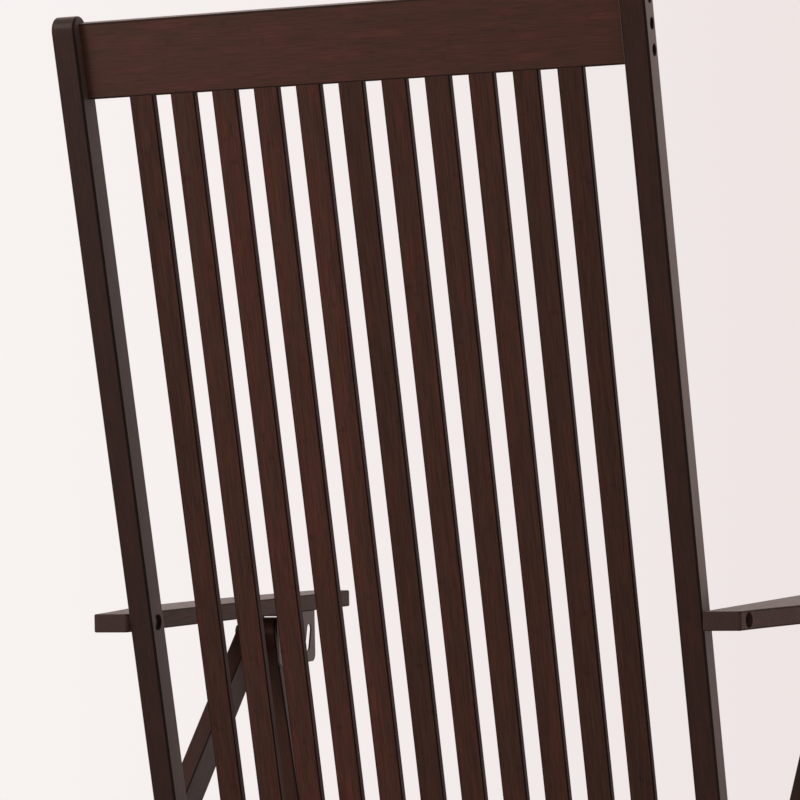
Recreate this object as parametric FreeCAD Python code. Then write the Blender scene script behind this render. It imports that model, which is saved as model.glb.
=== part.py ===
import FreeCAD, Part
import math
import os

# Folding recliner of stained laminated bamboo.
# Millimetres. The chair faces -Y, +Z is up, its left side is +X, and it stands on z = 0.
# The frame's origin is on the floor, below the middle of the whole chair.

Vector = FreeCAD.Vector
X_AXIS = Vector(1, 0, 0)
Y_AXIS = Vector(0, 1, 0)
Z_AXIS = Vector(0, 0, 1)

# Side view: angles in degrees, height above the floor
arm_pivot_height = 611.3
back_lean = 18.0
arm_rise = 3.3
rear_leg_slope = 45.3
front_leg_slope = 21.0
seat_rise = 5.5

# Boards and clearances
rail_board = 16.0
edge_round = 1.5
hinge_clearance = 0.05
play = 0.3
overcut = 1.0

# Backrest
back_half_width = 273.6
stile_width = 22.6
stile_depth = 26.3
stile_edge_round = 2.2
stile_above_pivot = 563.0
stile_below_crossing = 88.0
rail_thickness = 15.3
rail_edge_round = 2.0
top_rail_low = 488.0
top_rail_high = 556.0
bottom_rail_height = 40.0
bottom_rail_gap = 34.0
rail_screw_heights = (498.2, 520.6, 543.0)
rail_screw_inset = 4.8
bottom_screw_inset = 10.0
rail_counterbore_depth = 11.0
rail_screw_bite = 18.0

# Slats of back and seat
slat_count = 11
slat_width = 22.9
slat_thickness = 9.0
slat_pitch = 39.9
slat_edge_round = 1.3
back_slat_recess = 0.5
seat_slat_recess = 1.5
tenon = 8.0

# Arms: x of the edges, and lengths from the pivot
arm_thickness = 17.0
arm_inner = 273.9
arm_behind_pivot = 17.5
arm_ahead_of_pivot = 547.0
arm_rear_outer = 308.3
arm_widest = 344.0
arm_front_outer = 323.0
arm_corner_round = 14.0
arm_rear_round = 3.0
arm_flare = ((370.0, 339.0), (240.0, arm_widest), (140.0, 339.0), (55.0, 322.0))

# Bracket under each arm, measured from the arm's centre line
steel = 2.0
bracket_inner = 275.0
bracket_start = 342.0
bracket_end = 439.5
bracket_drop = 61.5
bracket_corner = 8.0
flange_width = 18.0
slot_width = 11.0
slot_drop = 44.7
finger_drop = 27.4
finger_lean = 16.5
finger_count = 4
finger_pitch = 22.6
pin_along_arm = 356.4
pin_drop = 26.4
bracket_screw_inset = 12.0
bracket_screw_offset = 11.0
bracket_screw_bite = 11.0

# Front and rear legs, lengths from the apex bolt
leg_thickness = 18.5
front_leg_inner = 280.5
front_leg_width = 26.0
front_leg_top = 14.6
front_rail_width = 34.0
support_bar_along = 296.8
lower_rail_along = 545.0
front_screw_offset = 8.0
front_screw_bite = 15.0
front_screw_sunk = 0.8
rear_leg_inner = 300.5
rear_leg_width = 34.0
rear_leg_top_cut = 15.5
rear_rail_along = 770.0
rear_rail_width = 40.0
rear_screw_spread = 11.0
rear_counterbore_depth = 6.0
rear_screw_bite = 24.0

# Foot pads
foot_pad_height = 4.0
foot_pad_inset = 2.0
foot_pad_round = 1.0

# Seat, from the crossing of stile and rear leg
seat_rail_inner = 229.0
seat_rail_outer = 249.0
seat_rail_above = 10.0
seat_rail_below = 22.0
seat_rail_reach = 462.0
seat_rail_top = 5.5
seat_rear_start = 70.0
seat_rear_width = 42.0
seat_rear_screw_inset = 11.0
seat_front_start = 396.0
seat_front_width = 56.0
seat_front_screw_inset = 14.0
seat_counterbore_depth = 7.0
seat_screw_bite = 20.0
stop_block_length = 26.0
stop_block_height = 14.0
stop_block_gap = 5.0

# Bolts, nuts and washers
bolt_radius = 4.0
bolt_end = 9.0
bolt_head_radius = 7.0
bolt_head_height = 1.6
crossing_head_radius = 8.0
crossing_head_height = 3.0
arm_pin_radius = 6.0
arm_pin_head_radius = 6.8
arm_pin_head_height = 6.0
arm_pin_recess = 3.0
arm_pin_socket_depth = 4.0
arm_counterbore_radius = 7.1
stile_counterbore_radius = 7.8
washer_radius = 9.0
washer_thickness = 1.6
apex_spacer_radius = 10.0
crossing_spacer_radius = 16.0
nut_corner_radius = 7.5
nut_height = 6.5

# Screws
screw_radius = 2.5
screw_head_radius = 4.5
flat_head_height = 2.2
cap_head_height = 5.0
hex_socket_radius = 2.2
hex_socket_depth = 3.0
driver_slot_width = 1.1
driver_slot_depth = 0.9
counterbore_radius = 5.6

os.makedirs("parts", exist_ok=True)


def sine(degrees):
    return math.sin(math.radians(degrees))


def cosine(degrees):
    return math.cos(math.radians(degrees))


def tangent(degrees):
    return math.tan(math.radians(degrees))


# Points of the side view, as distance ahead of the arm pivot and height above the floor

def apex_point():
    """The bolt below the arm, where front and rear leg meet."""
    ahead = pin_along_arm * cosine(arm_rise) + pin_drop * sine(arm_rise)
    height = arm_pivot_height + pin_along_arm * sine(arm_rise) - pin_drop * cosine(arm_rise)
    return ahead, height


def crossing_point():
    """The bolt where the stile crosses the rear leg."""
    apex_ahead, apex_height = apex_point()
    stile_run = tangent(back_lean)
    leg_run = tangent(rear_leg_slope)
    drop = (apex_ahead + leg_run * (arm_pivot_height - apex_height)) / (stile_run + leg_run)
    return drop * stile_run, arm_pivot_height - drop


def leg_reach(slope, half_width):
    """How far the outer corner of a leg's sawn end stands from the apex, along the floor."""
    fall = apex_point()[1] - foot_pad_height
    return fall * tangent(slope) + half_width / cosine(slope)


front_reach = apex_point()[0] + leg_reach(front_leg_slope, front_leg_width / 2)
rear_reach = apex_point()[0] - leg_reach(rear_leg_slope, rear_leg_width / 2)
middle_ahead = (front_reach + rear_reach) / 2


def in_side_view(point):
    ahead, height = point
    return Vector(0, middle_ahead - ahead, height)


ARM_PIVOT = in_side_view((0, arm_pivot_height))
APEX = in_side_view(apex_point())
CROSSING = in_side_view(crossing_point())
pivot_to_crossing = ARM_PIVOT.distanceToPoint(CROSSING)


# Places of the pieces: each is drawn in its own frame, then turned about X and moved

def placed(shape, origin, tilt):
    result = shape.copy()
    result.Placement = FreeCAD.Placement(origin, FreeCAD.Rotation(X_AXIS, tilt))
    return result


def in_back(shape):
    return placed(shape, ARM_PIVOT, -back_lean)


def in_arm(shape):
    return placed(shape, ARM_PIVOT, -arm_rise)


def in_seat(shape):
    return placed(shape, CROSSING, -seat_rise)


def in_rear_leg(shape):
    return placed(shape, APEX, rear_leg_slope)


def in_front_leg(shape):
    return placed(shape, APEX, -front_leg_slope)


def at_crossing(shape):
    return placed(shape, CROSSING, rear_leg_slope)


def mirrored(shape):
    return shape.mirror(Vector(0, 0, 0), X_AXIS)


def both_sides(shape):
    return Part.makeCompound([shape, mirrored(shape)])


# Basic shapes

def block(x, y, z):
    """A box from three pairs of limits."""
    size = [limits[1] - limits[0] for limits in (x, y, z)]
    return Part.makeBox(size[0], size[1], size[2], Vector(x[0], y[0], z[0]))


def pin(radius, x_start, x_end, y=0.0, z=0.0):
    """A round bar along X."""
    return Part.makeCylinder(radius, x_end - x_start, Vector(x_start, y, z), X_AXIS)


def hexagon(radius, x, height, y=0.0, z=0.0):
    """A six-sided bar along X."""
    corners = [
        Vector(x, y + radius * cosine(60 * k), z + radius * sine(60 * k)) for k in range(7)
    ]
    return Part.Face(Part.makePolygon(corners)).extrude(Vector(height, 0, 0))


def edges_along(shape, axis):
    return [
        edge for edge in shape.Edges
        if abs(edge.Vertexes[0].Point.sub(edge.Vertexes[-1].Point).normalize().dot(axis)) > 0.9999
    ]


def edges_at(shape, axis, place):
    """The edges that lie wholly at one place along an axis."""
    chosen = []
    for edge in shape.Edges:
        first = edge.FirstParameter
        last = edge.LastParameter
        spots = [edge.valueAt(first), edge.valueAt((first + last) / 2), edge.valueAt(last)]
        if all(abs(spot.dot(axis) - place) < 0.001 for spot in spots):
            chosen.append(edge)
    return chosen


def rounded_sides(shape, axis, radius):
    """Round the edges of the two faces that end a shape along an axis."""
    places = [vertex.Point.dot(axis) for vertex in shape.Vertexes]
    chosen = edges_at(shape, axis, min(places)) + edges_at(shape, axis, max(places))
    return shape.makeFillet(radius, chosen)


def strip(x, y, z, axis, radius):
    """A box whose four long edges, along an axis, are rounded."""
    shape = block(x, y, z)
    return shape.makeFillet(radius, edges_along(shape, axis))


def bar(x, half_depth, low, high, round_low, edge_radius):
    """An upright board with a round top end, and a round or square bottom end."""
    body_low = low + half_depth if round_low else low
    body_high = high - half_depth
    rear_low = Vector(x[0], half_depth, body_low)
    rear_high = Vector(x[0], half_depth, body_high)
    front_high = Vector(x[0], -half_depth, body_high)
    front_low = Vector(x[0], -half_depth, body_low)
    outline = [
        Part.makeLine(rear_low, rear_high),
        Part.Arc(rear_high, Vector(x[0], 0, high), front_high).toShape(),
        Part.makeLine(front_high, front_low),
    ]
    if round_low:
        outline.append(Part.Arc(front_low, Vector(x[0], 0, low), rear_low).toShape())
    else:
        outline.append(Part.makeLine(front_low, rear_low))
    shape = Part.Face(Part.Wire(outline)).extrude(Vector(x[1] - x[0], 0, 0))
    return rounded_sides(shape, X_AXIS, edge_radius)


def cap_screw(seat, tip, y, z):
    """A hex-socket screw along X, pointing to -X from the seat of its head."""
    head = pin(screw_head_radius, seat, seat + cap_head_height, y, z)
    socket_floor = seat + cap_head_height - hex_socket_depth
    head = head.cut(hexagon(hex_socket_radius, socket_floor, hex_socket_depth + overcut, y, z))
    return head.fuse(pin(screw_radius, tip, seat, y, z)).removeSplitter()


# Backrest, in its own frame: origin at the arm pivot, Z along the stile, -Y to the front

back_inner = back_half_width - stile_width
back_low = -(pivot_to_crossing + stile_below_crossing)
rail_front = -stile_depth / 2
rail_rear = rail_front + rail_thickness
rail_screw_line = rail_rear - rail_screw_inset
bottom_rail_top = -(pivot_to_crossing + bottom_rail_gap)
bottom_rail_low = bottom_rail_top - bottom_rail_height
bottom_screw_heights = (bottom_rail_top - bottom_screw_inset, bottom_rail_low + bottom_screw_inset)
rail_screw_seat = back_half_width - rail_counterbore_depth
rail_screw_tip = back_inner - rail_screw_bite
back_slat_rear = rail_rear - back_slat_recess
arm_pin_seat_depth = arm_pin_recess + arm_pin_head_height + play
arm_pin_inner_seat = back_inner + arm_pin_seat_depth
arm_pin_outer_seat = arm_rear_outer - arm_pin_seat_depth


def back_stile():
    x = (back_inner, back_half_width)
    through = (back_inner - overcut, back_half_width + overcut)
    shape = bar(x, stile_depth / 2, back_low, stile_above_pivot, True, stile_edge_round)
    for height in rail_screw_heights + bottom_screw_heights:
        shape = shape.cut(pin(counterbore_radius, rail_screw_seat, through[1], rail_screw_line, height))
        shape = shape.cut(pin(screw_radius, through[0], rail_screw_seat, rail_screw_line, height))
    pin_hole = arm_pin_radius + hinge_clearance
    bolt_hole = bolt_radius + hinge_clearance
    shape = shape.cut(pin(pin_hole, through[0], through[1]))
    shape = shape.cut(pin(stile_counterbore_radius, through[0], arm_pin_inner_seat))
    return shape.cut(pin(bolt_hole, through[0], through[1], 0, -pivot_to_crossing))


def slat_places():
    middle = (slat_count - 1) / 2
    return [(middle - number) * slat_pitch for number in range(slat_count)]


def slat_sides(place):
    return place - slat_width / 2, place + slat_width / 2


def back_rail(low, high, socket_low, screw_heights):
    """A rail between the stiles, with a socket for the end of each slat."""
    x = (-back_inner, back_inner)
    shape = strip(x, (rail_front, rail_rear), (low, high), X_AXIS, rail_edge_round)
    socket_y = (back_slat_rear - slat_thickness, back_slat_rear)
    for place in slat_places():
        shape = shape.cut(block(slat_sides(place), socket_y, (socket_low, socket_low + tenon)))
    for height in screw_heights:
        hole = pin(screw_radius, rail_screw_tip, back_inner + overcut, rail_screw_line, height)
        shape = shape.cut(hole).cut(mirrored(hole))
    return shape


def back_slat(place):
    y = (back_slat_rear - slat_thickness, back_slat_rear)
    z = (bottom_rail_top - tenon, top_rail_low + tenon)
    return strip(slat_sides(place), y, z, Z_AXIS, slat_edge_round)


def back_rail_screws():
    screws = []
    for height in rail_screw_heights + bottom_screw_heights:
        screw = cap_screw(rail_screw_seat, rail_screw_tip, rail_screw_line, height)
        screws += [screw, mirrored(screw)]
    return Part.makeCompound(screws)


# Arms and brackets, in the arm's frame: origin at the pivot, -Y along the arm to the front

arm_low = -arm_thickness / 2
bracket_screw_x = bracket_inner + bracket_screw_offset
bracket_screw_places = (
    bracket_start + bracket_screw_inset,
    (bracket_start + bracket_end) / 2,
    bracket_end - bracket_screw_inset,
)


def arm():
    front = -arm_ahead_of_pivot
    corner = arm_corner_round
    shoulder = corner * (1 - cosine(45))
    rear_inner = Vector(arm_inner, arm_behind_pivot, arm_low)
    inner_end = Vector(arm_inner, front + corner, arm_low)
    nose_inner = Vector(arm_inner + corner, front, arm_low)
    nose_outer = Vector(arm_front_outer - corner, front, arm_low)
    outer_end = Vector(arm_front_outer, front + corner, arm_low)
    rear_outer = Vector(arm_rear_outer, arm_behind_pivot, arm_low)
    inner_bend = Vector(arm_inner + shoulder, front + shoulder, arm_low)
    outer_bend = Vector(arm_front_outer - shoulder, front + shoulder, arm_low)
    flare = Part.BSplineCurve()
    bulge = [Vector(x, -ahead, arm_low) for ahead, x in arm_flare]
    flare.interpolate([outer_end] + bulge + [rear_outer])
    outline = Part.Wire([
        Part.makeLine(rear_inner, inner_end),
        Part.Arc(inner_end, inner_bend, nose_inner).toShape(),
        Part.makeLine(nose_inner, nose_outer),
        Part.Arc(nose_outer, outer_bend, outer_end).toShape(),
        flare.toShape(),
        Part.makeLine(rear_outer, rear_inner),
    ])
    shape = Part.Face(outline).extrude(Vector(0, 0, arm_thickness))
    rear_corners = [
        edge for edge in edges_along(shape, Z_AXIS)
        if abs(edge.Vertexes[0].Y - arm_behind_pivot) < 0.001
    ]
    shape = shape.makeFillet(arm_rear_round, rear_corners)
    shape = rounded_sides(shape, Z_AXIS, edge_round)
    shape = shape.cut(pin(arm_pin_radius + hinge_clearance, arm_inner - overcut, arm_widest))
    shape = shape.cut(pin(arm_counterbore_radius, arm_pin_outer_seat, arm_widest))
    for along in bracket_screw_places:
        start = Vector(bracket_screw_x, -along, arm_low)
        shape = shape.cut(Part.makeCylinder(screw_radius, bracket_screw_bite + overcut, start))
    return shape


def rounded_channel(start, end):
    """A cutter with round ends between two points of the bracket's web."""
    radius = slot_width / 2
    x_start = bracket_inner - overcut
    x_end = bracket_inner + steel + overcut
    ends = [pin(radius, x_start, x_end, y, z) for y, z in (start, end)]
    first = Vector(x_start, start[0], start[1])
    last = Vector(x_start, end[0], end[1])
    side = last.sub(first).cross(X_AXIS).normalize().multiply(radius)
    outline = [first.add(side), last.add(side), last.sub(side), first.sub(side), first.add(side)]
    middle = Part.Face(Part.makePolygon(outline)).extrude(Vector(x_end - x_start, 0, 0))
    return middle.fuse(ends)


def arm_bracket():
    """An angle of sheet steel, with a slot whose fingers set the back's angle."""
    y = (-bracket_end, -bracket_start)
    web = block((bracket_inner, bracket_inner + steel), y, (-bracket_drop, arm_low))
    low_corners = [
        edge for edge in edges_along(web, X_AXIS)
        if abs(edge.Vertexes[0].Point.z + bracket_drop) < 0.001
    ]
    web = web.makeFillet(bracket_corner, low_corners)
    finger_run = (slot_drop - finger_drop) * tangent(finger_lean)
    tops = [pin_along_arm + number * finger_pitch for number in range(finger_count)]
    for top in tops:
        web = web.cut(rounded_channel((-top, -finger_drop), (finger_run - top, -slot_drop)))
    slot_start = (finger_run - tops[0], -slot_drop)
    slot_end = (finger_run - tops[-1], -slot_drop)
    web = web.cut(rounded_channel(slot_start, slot_end))
    flange = block((bracket_inner, bracket_inner + flange_width), y, (arm_low - steel, arm_low))
    for along in bracket_screw_places:
        start = Vector(bracket_screw_x, -along, arm_low - steel)
        flange = flange.cut(Part.makeCylinder(screw_head_radius, steel, start))
    return web.fuse(flange).removeSplitter()


def bracket_screws():
    """Flush screws through the flange into the arm."""
    screws = []
    for along in bracket_screw_places:
        base = Vector(bracket_screw_x, -along, arm_low - steel)
        head = Part.makeCylinder(screw_head_radius, steel, base)
        shank = Part.makeCylinder(screw_radius, steel + bracket_screw_bite, base)
        slot = block(
            (base.x - driver_slot_width / 2, base.x + driver_slot_width / 2),
            (base.y - screw_head_radius, base.y + screw_head_radius),
            (base.z, base.z + driver_slot_depth),
        )
        screws.append(head.fuse(shank).cut(slot))
    return Part.makeCompound(screws)


def arm_pin():
    """Pin on which the arm turns, with a head in the stile and one in the arm."""
    inner_start = back_inner + arm_pin_recess
    outer_end = arm_rear_outer - arm_pin_recess
    shank = pin(arm_pin_radius, inner_start, outer_end)
    inner_head = pin(arm_pin_head_radius, inner_start, inner_start + arm_pin_head_height)
    outer_head = pin(arm_pin_head_radius, outer_end - arm_pin_head_height, outer_end)
    socket_floor = outer_end - arm_pin_socket_depth
    socket = hexagon(hex_socket_radius, socket_floor, arm_pin_socket_depth + overcut)
    return shank.fuse([inner_head, outer_head]).removeSplitter().cut(socket)


# Legs, in their own frames: origin at the apex bolt, Z up along the leg

front_x = (front_leg_inner, front_leg_inner + leg_thickness)
rear_x = (rear_leg_inner, rear_leg_inner + leg_thickness)
crossing_along_leg = APEX.distanceToPoint(CROSSING)
front_leg_face = -front_leg_width / 2
front_rail_face = front_leg_face - rail_board
rear_screw_seat = rear_x[1] - rear_counterbore_depth
rear_screw_tip = rear_x[0] - rear_screw_bite
rear_screw_heights = (-rear_rail_along - rear_screw_spread, -rear_rail_along + rear_screw_spread)


def leg_length(half, slope):
    """Length below the apex that reaches past the floor on both edges of a leg."""
    return APEX.z / cosine(slope) + half * tangent(slope)


def rear_leg_board():
    """A board whose top end is square at the rear and round at the front."""
    half = rear_leg_width / 2
    low = -leg_length(half, rear_leg_slope)
    start = rear_x[0]
    rear_low = Vector(start, half, low)
    rear_corner = Vector(start, half, half)
    top = Vector(start, 0, half)
    shoulder = Vector(start, -half * sine(45), half * cosine(45))
    front = Vector(start, -half, 0)
    front_low = Vector(start, -half, low)
    outline = Part.Wire([
        Part.makeLine(rear_low, rear_corner),
        Part.makeLine(rear_corner, top),
        Part.Arc(top, shoulder, front).toShape(),
        Part.makeLine(front, front_low),
        Part.makeLine(front_low, rear_low),
    ])
    shape = Part.Face(outline).extrude(Vector(leg_thickness, 0, 0))
    return rounded_sides(shape, X_AXIS, edge_round)


def above_floor(shape):
    """The leg without what is below its foot pad's top."""
    around = shape.BoundBox
    below = block(
        (around.XMin - overcut, around.XMax + overcut),
        (around.YMin - overcut, around.YMax + overcut),
        (around.ZMin - overcut, foot_pad_height),
    )
    return shape.cut(below)


def front_screw_places():
    middle = (front_x[0] + front_x[1]) / 2
    return [
        (x, -along + offset)
        for along in (support_bar_along, lower_rail_along)
        for offset in (-front_screw_offset, front_screw_offset)
        for x in (middle, -middle)
    ]


def front_screw_holes():
    holes = []
    for x, z in front_screw_places():
        start = Vector(x, front_rail_face, z)
        holes.append(Part.makeCylinder(screw_radius, rail_board + front_screw_bite, start, Y_AXIS))
        holes.append(
            Part.makeCylinder(screw_head_radius, front_screw_sunk + flat_head_height, start, Y_AXIS)
        )
    return Part.makeCompound(holes)


def front_leg():
    half = front_leg_width / 2
    low = -leg_length(half, front_leg_slope)
    shape = bar(front_x, half, low, front_leg_top, False, edge_round)
    hole = bolt_radius + hinge_clearance
    shape = shape.cut(pin(hole, front_x[0] - overcut, front_x[1] + overcut))
    shape = shape.cut(front_screw_holes())
    return above_floor(in_front_leg(shape))


def front_rail(along):
    """A cross rail on the front faces of the front legs."""
    x = (-front_x[1], front_x[1])
    z = (-along - front_rail_width / 2, -along + front_rail_width / 2)
    shape = strip(x, (front_rail_face, front_leg_face), z, X_AXIS, edge_round)
    return in_front_leg(shape.cut(front_screw_holes()))


def front_rail_screws():
    screws = []
    head_face = front_rail_face + front_screw_sunk
    shank_length = rail_board + front_screw_bite - front_screw_sunk
    for x, z in front_screw_places():
        start = Vector(x, head_face, z)
        head = Part.makeCylinder(screw_head_radius, flat_head_height, start, Y_AXIS)
        shank = Part.makeCylinder(screw_radius, shank_length, start, Y_AXIS)
        slot = block(
            (x - screw_head_radius, x + screw_head_radius),
            (head_face, head_face + driver_slot_depth),
            (z - driver_slot_width / 2, z + driver_slot_width / 2),
        )
        screws.append(head.fuse(shank).cut(slot))
    return in_front_leg(Part.makeCompound(screws))


def rear_leg():
    shape = rear_leg_board()
    through = (rear_x[0] - overcut, rear_x[1] + overcut)
    shape = shape.cut(pin(bolt_radius, through[0], through[1]))
    hole = bolt_radius + hinge_clearance
    shape = shape.cut(pin(hole, through[0], through[1], 0, -crossing_along_leg))
    for height in rear_screw_heights:
        shape = shape.cut(pin(screw_radius, through[0], through[1], 0, height))
        shape = shape.cut(pin(counterbore_radius, rear_screw_seat, through[1], 0, height))
    shape = above_floor(in_rear_leg(shape))
    return shape.cut(space_under_arm())


def space_under_arm():
    """What the rear leg's top end leaves free below the arm."""
    above = block(
        (rear_x[0] - overcut, rear_x[1] + overcut),
        (-pin_along_arm - rear_leg_width, -pin_along_arm + rear_leg_width),
        (rear_leg_top_cut - pin_drop, rear_leg_width),
    )
    return in_arm(above)


def rear_leg_rail():
    x = (-rear_x[0], rear_x[0])
    z = (-rear_rail_along - rear_rail_width / 2, -rear_rail_along + rear_rail_width / 2)
    shape = strip(x, (-rail_board / 2, rail_board / 2), z, X_AXIS, edge_round)
    for height in rear_screw_heights:
        hole = pin(screw_radius, rear_screw_tip, rear_x[0] + overcut, 0, height)
        shape = shape.cut(hole).cut(mirrored(hole))
    return in_rear_leg(shape)


def rear_rail_screws():
    screws = []
    for height in rear_screw_heights:
        screw = cap_screw(rear_screw_seat, rear_screw_tip, 0, height)
        screws += [screw, mirrored(screw)]
    return in_rear_leg(Part.makeCompound(screws))


def foot_pad(x, y_centre, slope, half_width):
    """A pad under one leg, set in from the leg's sawn end."""
    half = half_width / cosine(slope) - foot_pad_inset
    pad = block(
        (x[0] + foot_pad_inset, x[1] - foot_pad_inset),
        (y_centre - half, y_centre + half),
        (0, foot_pad_height),
    )
    return pad.makeFillet(foot_pad_round, edges_along(pad, Z_AXIS))


def foot_pads(x, slope, half_width, to_rear):
    """The pads under a pair of legs, each below the middle of its leg's end."""
    run = (APEX.z - foot_pad_height) * tangent(slope)
    y_centre = APEX.y + run if to_rear else APEX.y - run
    return both_sides(foot_pad(x, y_centre, slope, half_width))


def apex_bolt():
    """Bolt on which the front leg swings, with its spacer, washer and nut."""
    outer = rear_x[1]
    head_end = front_x[0] - play
    nut_start = outer + washer_thickness
    head = pin(bolt_head_radius, head_end - bolt_head_height, head_end)
    shank = pin(bolt_radius, head_end - bolt_head_height, outer + bolt_end)
    spacer = pin(apex_spacer_radius, front_x[1] + play, rear_x[0])
    washer = pin(washer_radius, outer, nut_start)
    nut = hexagon(nut_corner_radius, nut_start, nut_height)
    bolt = shank.fuse([head, spacer, washer, nut]).removeSplitter()
    return placed(bolt, APEX, 0)


def crossing_bolt():
    """Bolt through seat rail, stile and rear leg, with its spacers, washer and nut."""
    outer = rear_x[1]
    head_end = seat_rail_inner - play
    washer_start = outer + play
    nut_start = washer_start + washer_thickness
    head = pin(crossing_head_radius, head_end - crossing_head_height, head_end)
    shank = pin(bolt_radius, head_end - crossing_head_height, outer + bolt_end)
    thin_washer = pin(washer_radius, seat_rail_outer + play, back_inner - play)
    spacer = pin(crossing_spacer_radius, back_half_width + play, rear_x[0] - play)
    washer = pin(washer_radius, washer_start, nut_start)
    nut = hexagon(nut_corner_radius, nut_start, nut_height)
    bolt = shank.fuse([head, thin_washer, spacer, washer, nut]).removeSplitter()
    return at_crossing(bolt)


# Seat, in its own frame: origin at the crossing bolt, -Y along the seat to the front

seat_rail_low = seat_rail_top - rail_thickness
seat_screw_height = (seat_rail_top + seat_rail_low) / 2
seat_slat_high = seat_rail_top - seat_slat_recess
seat_rear_end = seat_rear_start + seat_rear_width
seat_front_end = seat_front_start + seat_front_width
seat_screw_seat = seat_rail_outer - seat_counterbore_depth
seat_screw_tip = seat_rail_inner - seat_screw_bite
seat_screw_places = (
    seat_rear_start + seat_rear_screw_inset,
    seat_rear_end - seat_rear_screw_inset,
    seat_front_start + seat_front_screw_inset,
    seat_front_end - seat_front_screw_inset,
)


def seat_side_rail():
    middle = (seat_rail_above - seat_rail_below) / 2
    half = (seat_rail_above + seat_rail_below) / 2
    x = (seat_rail_inner, seat_rail_outer)
    through = (x[0] - overcut, x[1] + overcut)
    shape = bar(x, half, -half, seat_rail_reach, True, edge_round)
    shape.rotate(Vector(0, 0, 0), X_AXIS, 90)
    shape.translate(Vector(0, 0, middle))
    shape = shape.cut(pin(bolt_radius + hinge_clearance, through[0], through[1]))
    for along in seat_screw_places:
        shape = shape.cut(pin(screw_radius, through[0], through[1], -along, seat_screw_height))
        bore = pin(counterbore_radius, seat_screw_seat, through[1], -along, seat_screw_height)
        shape = shape.cut(bore)
    return in_seat(shape)


def seat_cross_rail(start, end, socket_start):
    """A rail between the seat's side rails, with a socket for the end of each slat."""
    x = (-seat_rail_inner, seat_rail_inner)
    shape = strip(x, (-end, -start), (seat_rail_low, seat_rail_top), X_AXIS, edge_round)
    socket_y = (-socket_start - tenon, -socket_start)
    socket_z = (seat_slat_high - slat_thickness, seat_slat_high)
    for place in slat_places():
        shape = shape.cut(block(slat_sides(place), socket_y, socket_z))
    for along in seat_screw_places:
        if start < along < end:
            tip = (seat_screw_tip, seat_rail_inner + overcut)
            hole = pin(screw_radius, tip[0], tip[1], -along, seat_screw_height)
            shape = shape.cut(hole).cut(mirrored(hole))
    return in_seat(shape)


def seat_slat(place):
    y = (-seat_front_start - tenon, -seat_rear_end + tenon)
    z = (seat_slat_high - slat_thickness, seat_slat_high)
    return in_seat(strip(slat_sides(place), y, z, Y_AXIS, slat_edge_round))


def seat_screws():
    screws = []
    for along in seat_screw_places:
        screw = cap_screw(seat_screw_seat, seat_screw_tip, -along, seat_screw_height)
        screws += [screw, mirrored(screw)]
    return in_seat(Part.makeCompound(screws))


def support_bar_front():
    """How far along the seat the front of the support bar stands under it."""
    drop = support_bar_along - front_rail_width / 2
    ahead = front_leg_width / 2 + rail_board
    y = APEX.y - drop * sine(front_leg_slope) - ahead * cosine(front_leg_slope)
    z = APEX.z - drop * cosine(front_leg_slope) + ahead * sine(front_leg_slope)
    return (CROSSING.y - y) * cosine(seat_rise) + (z - CROSSING.z) * sine(seat_rise)


def seat_stop_block():
    """Block under the seat's side rail, ahead of the support bar."""
    start = support_bar_front() + stop_block_gap
    x = (seat_rail_inner, seat_rail_outer)
    low = -seat_rail_below - stop_block_height
    shape = block(x, (-start - stop_block_length, -start), (low, -seat_rail_below))
    return in_seat(shape.makeFillet(edge_round, edges_at(shape, Z_AXIS, low)))


# Files

def export(node, shape):
    shape.exportStep(f"parts/{node}.step")


def export_pair(name, shape):
    export(f"left_{name}", shape)
    export(f"right_{name}", mirrored(shape))


def write_backrest():
    export_pair("back_stile", in_back(back_stile()))
    top = back_rail(top_rail_low, top_rail_high, top_rail_low, rail_screw_heights)
    export("back_top_rail", in_back(top))
    socket_low = bottom_rail_top - tenon
    bottom = back_rail(bottom_rail_low, bottom_rail_top, socket_low, bottom_screw_heights)
    export("back_bottom_rail", in_back(bottom))
    for number, place in enumerate(slat_places(), start=1):
        export(f"back_slat_{number:02d}", in_back(back_slat(place)))
    export("back_rail_screws", in_back(back_rail_screws()))


def write_arms():
    export_pair("arm", in_arm(arm()))
    export_pair("arm_bracket", in_arm(arm_bracket()))
    export_pair("bracket_screws", in_arm(bracket_screws()))
    export_pair("arm_pin", in_arm(arm_pin()))


def write_legs():
    export_pair("rear_leg", rear_leg())
    export("rear_leg_rail", rear_leg_rail())
    export("rear_rail_screws", rear_rail_screws())
    export("rear_foot_pads", foot_pads(rear_x, rear_leg_slope, rear_leg_width / 2, True))
    export("apex_bolts", both_sides(apex_bolt()))
    export("crossing_bolts", both_sides(crossing_bolt()))
    export_pair("front_leg", front_leg())
    export("seat_support_bar", front_rail(support_bar_along))
    export("front_leg_rail", front_rail(lower_rail_along))
    export("front_rail_screws", front_rail_screws())
    export("front_foot_pads", foot_pads(front_x, front_leg_slope, front_leg_width / 2, False))


def write_seat():
    export_pair("seat_side_rail", seat_side_rail())
    export_pair("seat_stop_block", seat_stop_block())
    rear = seat_cross_rail(seat_rear_start, seat_rear_end, seat_rear_end - tenon)
    export("seat_rear_rail", rear)
    export("seat_front_rail", seat_cross_rail(seat_front_start, seat_front_end, seat_front_start))
    for number, place in enumerate(slat_places(), start=1):
        export(f"seat_slat_{number:02d}", seat_slat(place))
    export("seat_screws", seat_screws())


write_backrest()
write_arms()
write_legs()
write_seat()
for name, point in (("arm pivot", ARM_PIVOT), ("apex", APEX), ("crossing", CROSSING)):
    print(f"{name}: y {point.y:.4f}, z {point.z:.4f}")
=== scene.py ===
import math

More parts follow.
